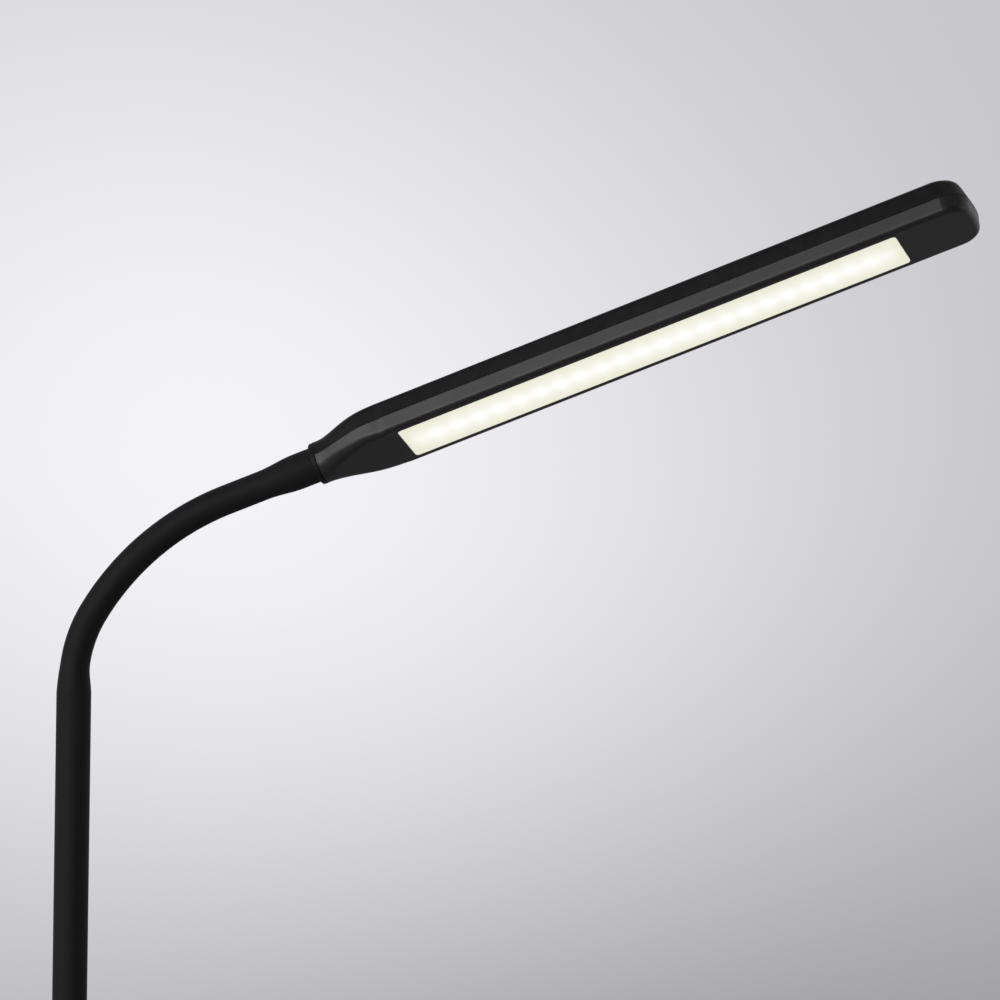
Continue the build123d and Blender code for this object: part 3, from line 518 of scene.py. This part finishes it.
def sleeveRing(s, radius):
    along = neckAlong(s)
    out = Vector((-along.z, 0, along.x))
    side = Vector((0, 1, 0))
    middle = neckPoint(s)
    sides = sleeve["sides"]
    turns = [2 * pi * i / sides for i in range(sides)]
    return [middle + (out * cos(turn) - side * sin(turn)) * radius for turn in turns]


def sleeveSkin(name, start, end, step):
    count = max(2, round((end - start) / step))
    stations = [start + (end - start) * i / count for i in range(count + 1)]
    return loftRings(name, [sleeveRing(s, sleeveRadius(s)) for s in stations], sleeveRubber)


halfPitch = neck["pitch"] / 2
postSkin = sleeveSkin("postSleeve", sleeve["foot"] - neck["bendStart"], -halfPitch,
                      sleeve["postStep"])
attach(postSkin, "base")
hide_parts("sleeve_post")

for k in range(neck["stretches"] + 1):
    start, end = k * neck["pitch"] - halfPitch, k * neck["pitch"] + halfPitch
    skin = sleeveSkin(f"neckSleeve_{k + 1}", start, end, sleeve["step"])
    first, last = neckPoint(start), neckPoint(end)
    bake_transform(skin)
    if k < neck["stretches"]:
        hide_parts(f"sleeve_{k + 1}")


def cuffRings():
    # the cuff runs on into the head's ring, and is rounded and turned in at its end
    start = neck["stretches"] * neck["pitch"] + halfPitch
    straight = sleeve["cuffEnd"] - sleeve["lipRound"] - start
    rings = []
    for i in range(sleeve["cuffRings"] + 1):
        s = start + straight * i / sleeve["cuffRings"]
        rings.append(sleeveRing(s, sleeveRadius(s)))
    for i in range(1, sleeve["lipSteps"] + 1):
        turn = radians(90 * i / sleeve["lipSteps"])
        rings.append(sleeveRing(sleeve["cuffEnd"] - sleeve["lipRound"] * (1 - sin(turn)),
                                neck["cuffRadius"] - sleeve["lipRound"] * (1 - cos(turn))))
    rings.append(sleeveRing(sleeve["cuffEnd"], sleeve["cuffMouth"]))
    return rings


cuff = loftRings("cuffSleeve", cuffRings(), sleeveRubber)
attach(cuff, "neck_end")
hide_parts("sleeve_head")
print("sleeve made")

# head's own directions
head = {"rise": 21.8, "roll": 24.0, "depth": 6.85 * mm}
headAlong = Vector((cos(radians(head["rise"])), 0, sin(radians(head["rise"]))))
levelUp = Vector((-headAlong.z, 0, headAlong.x))
headSide = Vector((0, cos(radians(head["roll"])), 0)) - levelUp * sin(radians(head["roll"]))
headUp = headAlong.cross(headSide)
headOrigin = neckPoint(neck["headStart"])


def headPoint(x, y, z):
    return headOrigin + headAlong * x + headSide * y + headUp * z


# lit window
window = {
    "start": 39.6 * mm,
    "length": 222.0 * mm,
    "width": 25.1 * mm,
    "thickness": 1.6 * mm,
    "corner": 1.6 * mm,
    "leastCorner": 0.2 * mm,
    "cornerSteps": 8,
    "edgeRound": 0.35 * mm,
    "edgeSteps": 5,
    "tuck": 0.2 * mm,  # into the shell, above its floor
    "ledCount": 24,
    "ledSpot": 0.3,  # of the glow, the rest is even
    "sideFall": 1.4,
    "endFade": 9.0 * mm,
    "rimGlow": (0.73, 0.72, 0.585),
    "fullGlow": (0.975, 0.972, 0.955),
    "shadeDark": (0.30, 0.295, 0.27),
    "shadeLight": (0.34, 0.335, 0.31),
    "grainSize": 900.0,
    "rough": (0.35, 0.5),
    "bump": (0.05, 0.0001),
}


def makeOpal():
    material, tree, shader = newMaterial("opalWindow")
    point = objectPoint(tree)
    # how far along and across the window, in the head's own directions
    place = addNode(tree, "ShaderNodeVectorMath", operation="SUBTRACT")
    tree.links.new(point, place.inputs[0])
    place.inputs[1].default_value = headPoint(window["start"], 0, 0)
    along, across = [addDot(tree, place.outputs["Vector"], axis)
                     for axis in (headAlong, headSide)]
    # a soft bright spot under each LED
    phase = addMath(tree, "MULTIPLY", along, 2 * pi * window["ledCount"] / window["length"])
    spot = addMath(tree, "MULTIPLY_ADD", addMath(tree, "COSINE", phase), -0.5, 0.5)
    spotted = addMath(tree, "MULTIPLY_ADD", spot, window["ledSpot"], 1 - window["ledSpot"])
    # and less light towards the sides and the ends
    middle = addRamp(tree, addMath(tree, "ABSOLUTE", across), 0.0, window["width"] / 2, 1.0, 0.0)
    hot = addMath(tree, "MULTIPLY", addMath(tree, "POWER", middle, window["sideFall"]), spotted)
    fromMiddle = addMath(tree, "SUBTRACT", along, window["length"] / 2)
    fromEnd = addMath(tree, "SUBTRACT", window["length"] / 2,
                      addMath(tree, "ABSOLUTE", fromMiddle))
    inward = addRamp(tree, fromEnd, 0.0, window["endFade"])
    glow = mixColor(tree, addMath(tree, "MULTIPLY", hot, inward),
                    window["rimGlow"], window["fullGlow"])
    grain = useGroup(tree, fineGrain, point, Grain_Size=window["grainSize"],
                     Roughness_Low=window["rough"][0], Roughness_High=window["rough"][1])
    shade = mixColor(tree, grain.outputs["Shade"], window["shadeDark"], window["shadeLight"])
    tree.links.new(shade, shader.inputs["Base Color"])
    tree.links.new(grain.outputs["Roughness"], shader.inputs["Roughness"])
    tree.links.new(glow, shader.inputs["Emission Color"])
    shader.inputs["Emission Strength"].default_value = 1.0
    bumpFrom(tree, shader, grain.outputs["Height"], *window["bump"])
    return material


opalWindow = makeOpal()


def windowOutline(inset):
    # rounded rectangle in the head's own directions, from one corner round
    halfLength, halfWidth = window["length"] / 2 - inset, window["width"] / 2 - inset
    corner = max(window["corner"] - inset, window["leastCorner"])
    steps = window["cornerSteps"]
    points = []
    for quarter, (u, v) in enumerate(((1, 1), (-1, 1), (-1, -1), (1, -1))):
        for i in range(steps + 1):
            angle = radians(90 * quarter + 90 * i / steps)
            points.append((u * (halfLength - corner) + corner * cos(angle),
                           v * (halfWidth - corner) + corner * sin(angle)))
    return points


def windowRing(inset, height):
    middle = window["start"] + window["length"] / 2
    return [headPoint(middle + u, v, height) for u, v in windowOutline(inset)]


def windowRings():
    # from inside the shell down to the underside, with the lower edge rounded
    underside, edge = -head["depth"], window["edgeRound"]
    rings = [windowRing(0, underside + window["thickness"] + window["tuck"]),
             windowRing(0, underside + edge)]
    for i in range(1, window["edgeSteps"] + 1):
        turn = radians(90 * i / window["edgeSteps"])
        rings.append(windowRing(edge * (1 - cos(turn)), underside + edge * (1 - sin(turn))))
    return rings


lens = loftRings("litWindow", windowRings(), opalWindow, closeStart=True, closeEnd=True)
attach(lens, "head")
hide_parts("diffuser")
print("window made")

# floor, in metres: plain round the lamp, then fading out to the wall
floorLook = {
    "rings": (0.001, 0.05, 0.1, 0.2, 0.4, 0.8, 1.15, 1.5),
    "sides": 96,
    "plainTo": 0.55,
    "fadeTo": 1.5,
    "paperScale": 120.0,
    "dark": (0.43, 0.427, 0.438),
    "light": (0.46, 0.457, 0.468),
    "rough": 0.8,
    "specular": 0.08,
    "cameraGlow": (0.32, 0.316, 0.326),
}


def makeFloor():
    sides = floorLook["sides"]
    turns = [2 * pi * i / sides for i in range(sides)]
    rings = [[Vector((radius * cos(turn), radius * sin(turn), 0)) for turn in turns]
             for radius in floorLook["rings"]]
    material, tree, shader = newMaterial("paleFloor")
    point = objectPoint(tree)
    far = addNode(tree, "ShaderNodeVectorMath", operation="LENGTH")
    tree.links.new(point, far.inputs[0])
    fade = addRamp(tree, far.outputs["Value"], floorLook["plainTo"], floorLook["fadeTo"], 1.0, 0.0)
    paper = addNoise(tree, point, floorLook["paperScale"])
    color = mixColor(tree, paper, floorLook["dark"], floorLook["light"])
    tree.links.new(fade, shader.inputs["Alpha"])
    tree.links.new(color, shader.inputs["Base Color"])
    shader.inputs["Roughness"].default_value = floorLook["rough"]
    shader.inputs["Specular IOR Level"].default_value = floorLook["specular"]
    # pale to the eye, without more light on the lamp
    shader.inputs["Emission Color"].default_value = (*floorLook["cameraGlow"], 1.0)
    path = addNode(tree, "ShaderNodeLightPath")
    tree.links.new(path.outputs["Is Camera Ray"], shader.inputs["Emission Strength"])
    floor = loftRings("floor", rings, material)
    for polygon in floor.data.polygons:
        polygon.use_smooth = False
    return floor


makeFloor()

# camera: metres and degrees, and millimetres for its lens and sensor
studio = {
    "target": (0.1302, 0.0, 0.3883),
    "azimuth": 10.7,
    "distance": 3.312,
    "roll": 0.8,
    "lens": 288.0,
    "sensor": 36.0,
    "clip": (0.1, 50.0),
}

# wall behind the lamp: a glow and a shade, as places and sizes in the camera's directions
wall = {
    "plain": (0.56, 0.55, 0.58),
    "glow": {"centre": (0.0, -0.03), "size": (0.095, 0.07), "turn": -40.0,
             "color": (1.1, 1.09, 1.14)},
    "shade": {"centre": (0.0, -0.14), "size": (0.15, 0.11), "turn": 10.0,
              "color": (0.1, 0.1, 0.11)},
    "patchFrom": 0.972, "patchFull": 0.9955,  # the patches lie only straight behind the lamp
    "bellBase": 2.718,
    "roomDark": (0.12, 0.12, 0.123),
    "roomLight": (0.75, 0.745, 0.76),
    "behindFrom": -0.1, "behindFull": 0.9,
    "levelFull": 0.1, "levelTo": 0.9,
}


def falloff(tree, source, centre, width):
    # bell curve round a direction
    offset = addMath(tree, "DIVIDE", addMath(tree, "SUBTRACT", source, centre), width)
    square = addMath(tree, "MULTIPLY", offset, offset)
    return addMath(tree, "POWER", wall["bellBase"], addMath(tree, "MULTIPLY", square, -1.0))


def wallPatch(tree, spot, across, height, middle):
    # oval patch on the wall, turned by its angle
    c, t = cos(radians(spot["turn"])), sin(radians(spot["turn"]))
    u = addMath(tree, "MULTIPLY_ADD", across, c, addMath(tree, "MULTIPLY", height, t))
    v = addMath(tree, "MULTIPLY_ADD", height, c, addMath(tree, "MULTIPLY", across, -t))
    oval = addMath(tree, "MULTIPLY", falloff(tree, u, spot["centre"][0], spot["size"][0]),
                   falloff(tree, v, spot["centre"][1], spot["size"][1]))
    return addMath(tree, "MULTIPLY", oval, middle)


def makeWorld():
    # the camera sees the pale wall, other rays a dim room that is lighter behind the lamp
    world = bpy.data.worlds.new("studio")
    bpy.context.scene.world = world
    world.use_nodes = True
    tree = world.node_tree
    tree.nodes.clear()
    direction = addNode(tree, "ShaderNodeTexCoord").outputs["Generated"]
    azimuth = radians(studio["azimuth"])
    across, height, ahead = [addDot(tree, direction, axis) for axis in (
        (cos(azimuth), sin(azimuth), 0.0), (0.0, 0.0, 1.0), (-sin(azimuth), cos(azimuth), 0.0))]
    middle = addRamp(tree, ahead, wall["patchFrom"], wall["patchFull"])
    glow = wallPatch(tree, wall["glow"], across, height, middle)
    lit = mixColor(tree, glow, wall["plain"], wall["glow"]["color"])
    shade = wallPatch(tree, wall["shade"], across, height, middle)
    seen = addNode(tree, "ShaderNodeBackground")
    tree.links.new(mixColor(tree, shade, lit, wall["shade"]["color"]), seen.inputs["Color"])

    separate = addNode(tree, "ShaderNodeSeparateXYZ")
    tree.links.new(direction, separate.inputs["Vector"])
    behind = addRamp(tree, separate.outputs["Y"], wall["behindFrom"], wall["behindFull"])
    level = addRamp(tree, addMath(tree, "ABSOLUTE", separate.outputs["Z"]),
                    wall["levelFull"], wall["levelTo"], 1.0, 0.0)
    room = addNode(tree, "ShaderNodeBackground")
    roomColor = mixColor(tree, addMath(tree, "MULTIPLY", behind, level),
                         wall["roomDark"], wall["roomLight"])
    tree.links.new(roomColor, room.inputs["Color"])

    # gloss and glass see the wall too, where it stands behind the lamp
    path = addNode(tree, "ShaderNodeLightPath")
    shiny = addMath(tree, "MAXIMUM", path.outputs["Is Glossy Ray"],
                    path.outputs["Is Transmission Ray"])
    wallShare = addMath(tree, "MAXIMUM", path.outputs["Is Camera Ray"],
                        addMath(tree, "MULTIPLY", shiny, behind))
    mix = addNode(tree, "ShaderNodeMixShader")
    tree.links.new(wallShare, mix.inputs["Fac"])
    tree.links.new(room.outputs[0], mix.inputs[1])
    tree.links.new(seen.outputs[0], mix.inputs[2])
    output = addNode(tree, "ShaderNodeOutputWorld")
    tree.links.new(mix.outputs[0], output.inputs["Surface"])


makeWorld()

# lamps: degrees round from the front and up, metres from what they aim at, and brightness
lampAim = (0.15, 0.0, 0.43)
lamps = {
    # one long low softbox from the front round to the left, in three panels
    "frontPanel": {"azimuth": -23.0, "elevation": 9.0, "distance": 1.7,
                   "width": 1.10, "tall": 1.25, "radiance": 3.05},
    "cornerPanel": {"azimuth": -56.0, "elevation": 3.0, "distance": 1.7,
                    "width": 0.85, "tall": 1.10, "radiance": 2.5},
    "leftPanel": {"azimuth": -84.0, "elevation": -4.0, "distance": 1.7,
                  "width": 0.85, "tall": 0.90, "radiance": 0.5},
    "topBox": {"azimuth": 60.0, "elevation": 68.0, "distance": 2.0,
               "width": 1.2, "tall": 1.2, "radiance": 0.95},
    "sideBox": {"azimuth": 92.0, "elevation": 6.0, "distance": 2.0,
                "width": 1.2, "tall": 0.8, "radiance": 0.8},
    "backBox": {"azimuth": 168.0, "elevation": 42.0, "distance": 2.4,
                "width": 1.1, "tall": 0.8, "radiance": 1.1},
}


def softLight(name, azimuth, elevation, distance, width, tall, radiance):
    light = bpy.data.lights.new(name, "AREA")
    light.shape = "RECTANGLE"
    light.size, light.size_y = width, tall
    light.energy = radiance * width * tall * pi
    holder = bpy.data.objects.new(name, light)
    bpy.context.scene.collection.objects.link(holder)
    a, e = radians(azimuth), radians(elevation)
    toLight = Vector((sin(a) * cos(e), -cos(a) * cos(e), sin(e)))
    holder.location = Vector(lampAim) + toLight * distance
    holder.rotation_euler = (-toLight).to_track_quat("-Z", "Y").to_euler()


for name, lamp in lamps.items():
    softLight(name, **lamp)


def makeCamera():
    data = bpy.data.cameras.new("camera")
    data.lens, data.sensor_width = studio["lens"], studio["sensor"]
    data.clip_start, data.clip_end = studio["clip"]
    camera = bpy.data.objects.new("camera", data)
    bpy.context.scene.collection.objects.link(camera)
    a = radians(studio["azimuth"])
    back = Vector((sin(a), -cos(a), 0.0))
    camera.location = Vector(studio["target"]) + back * studio["distance"]
    aim = (-back).to_track_quat("-Z", "Y").to_matrix().to_4x4()
    roll = Matrix.Rotation(radians(studio["roll"]), 4, "Z")
    camera.rotation_euler = (aim @ roll).to_euler()
    bpy.context.scene.camera = camera


makeCamera()
bpy.context.scene.view_settings.view_transform = "Standard"
print("studio made")
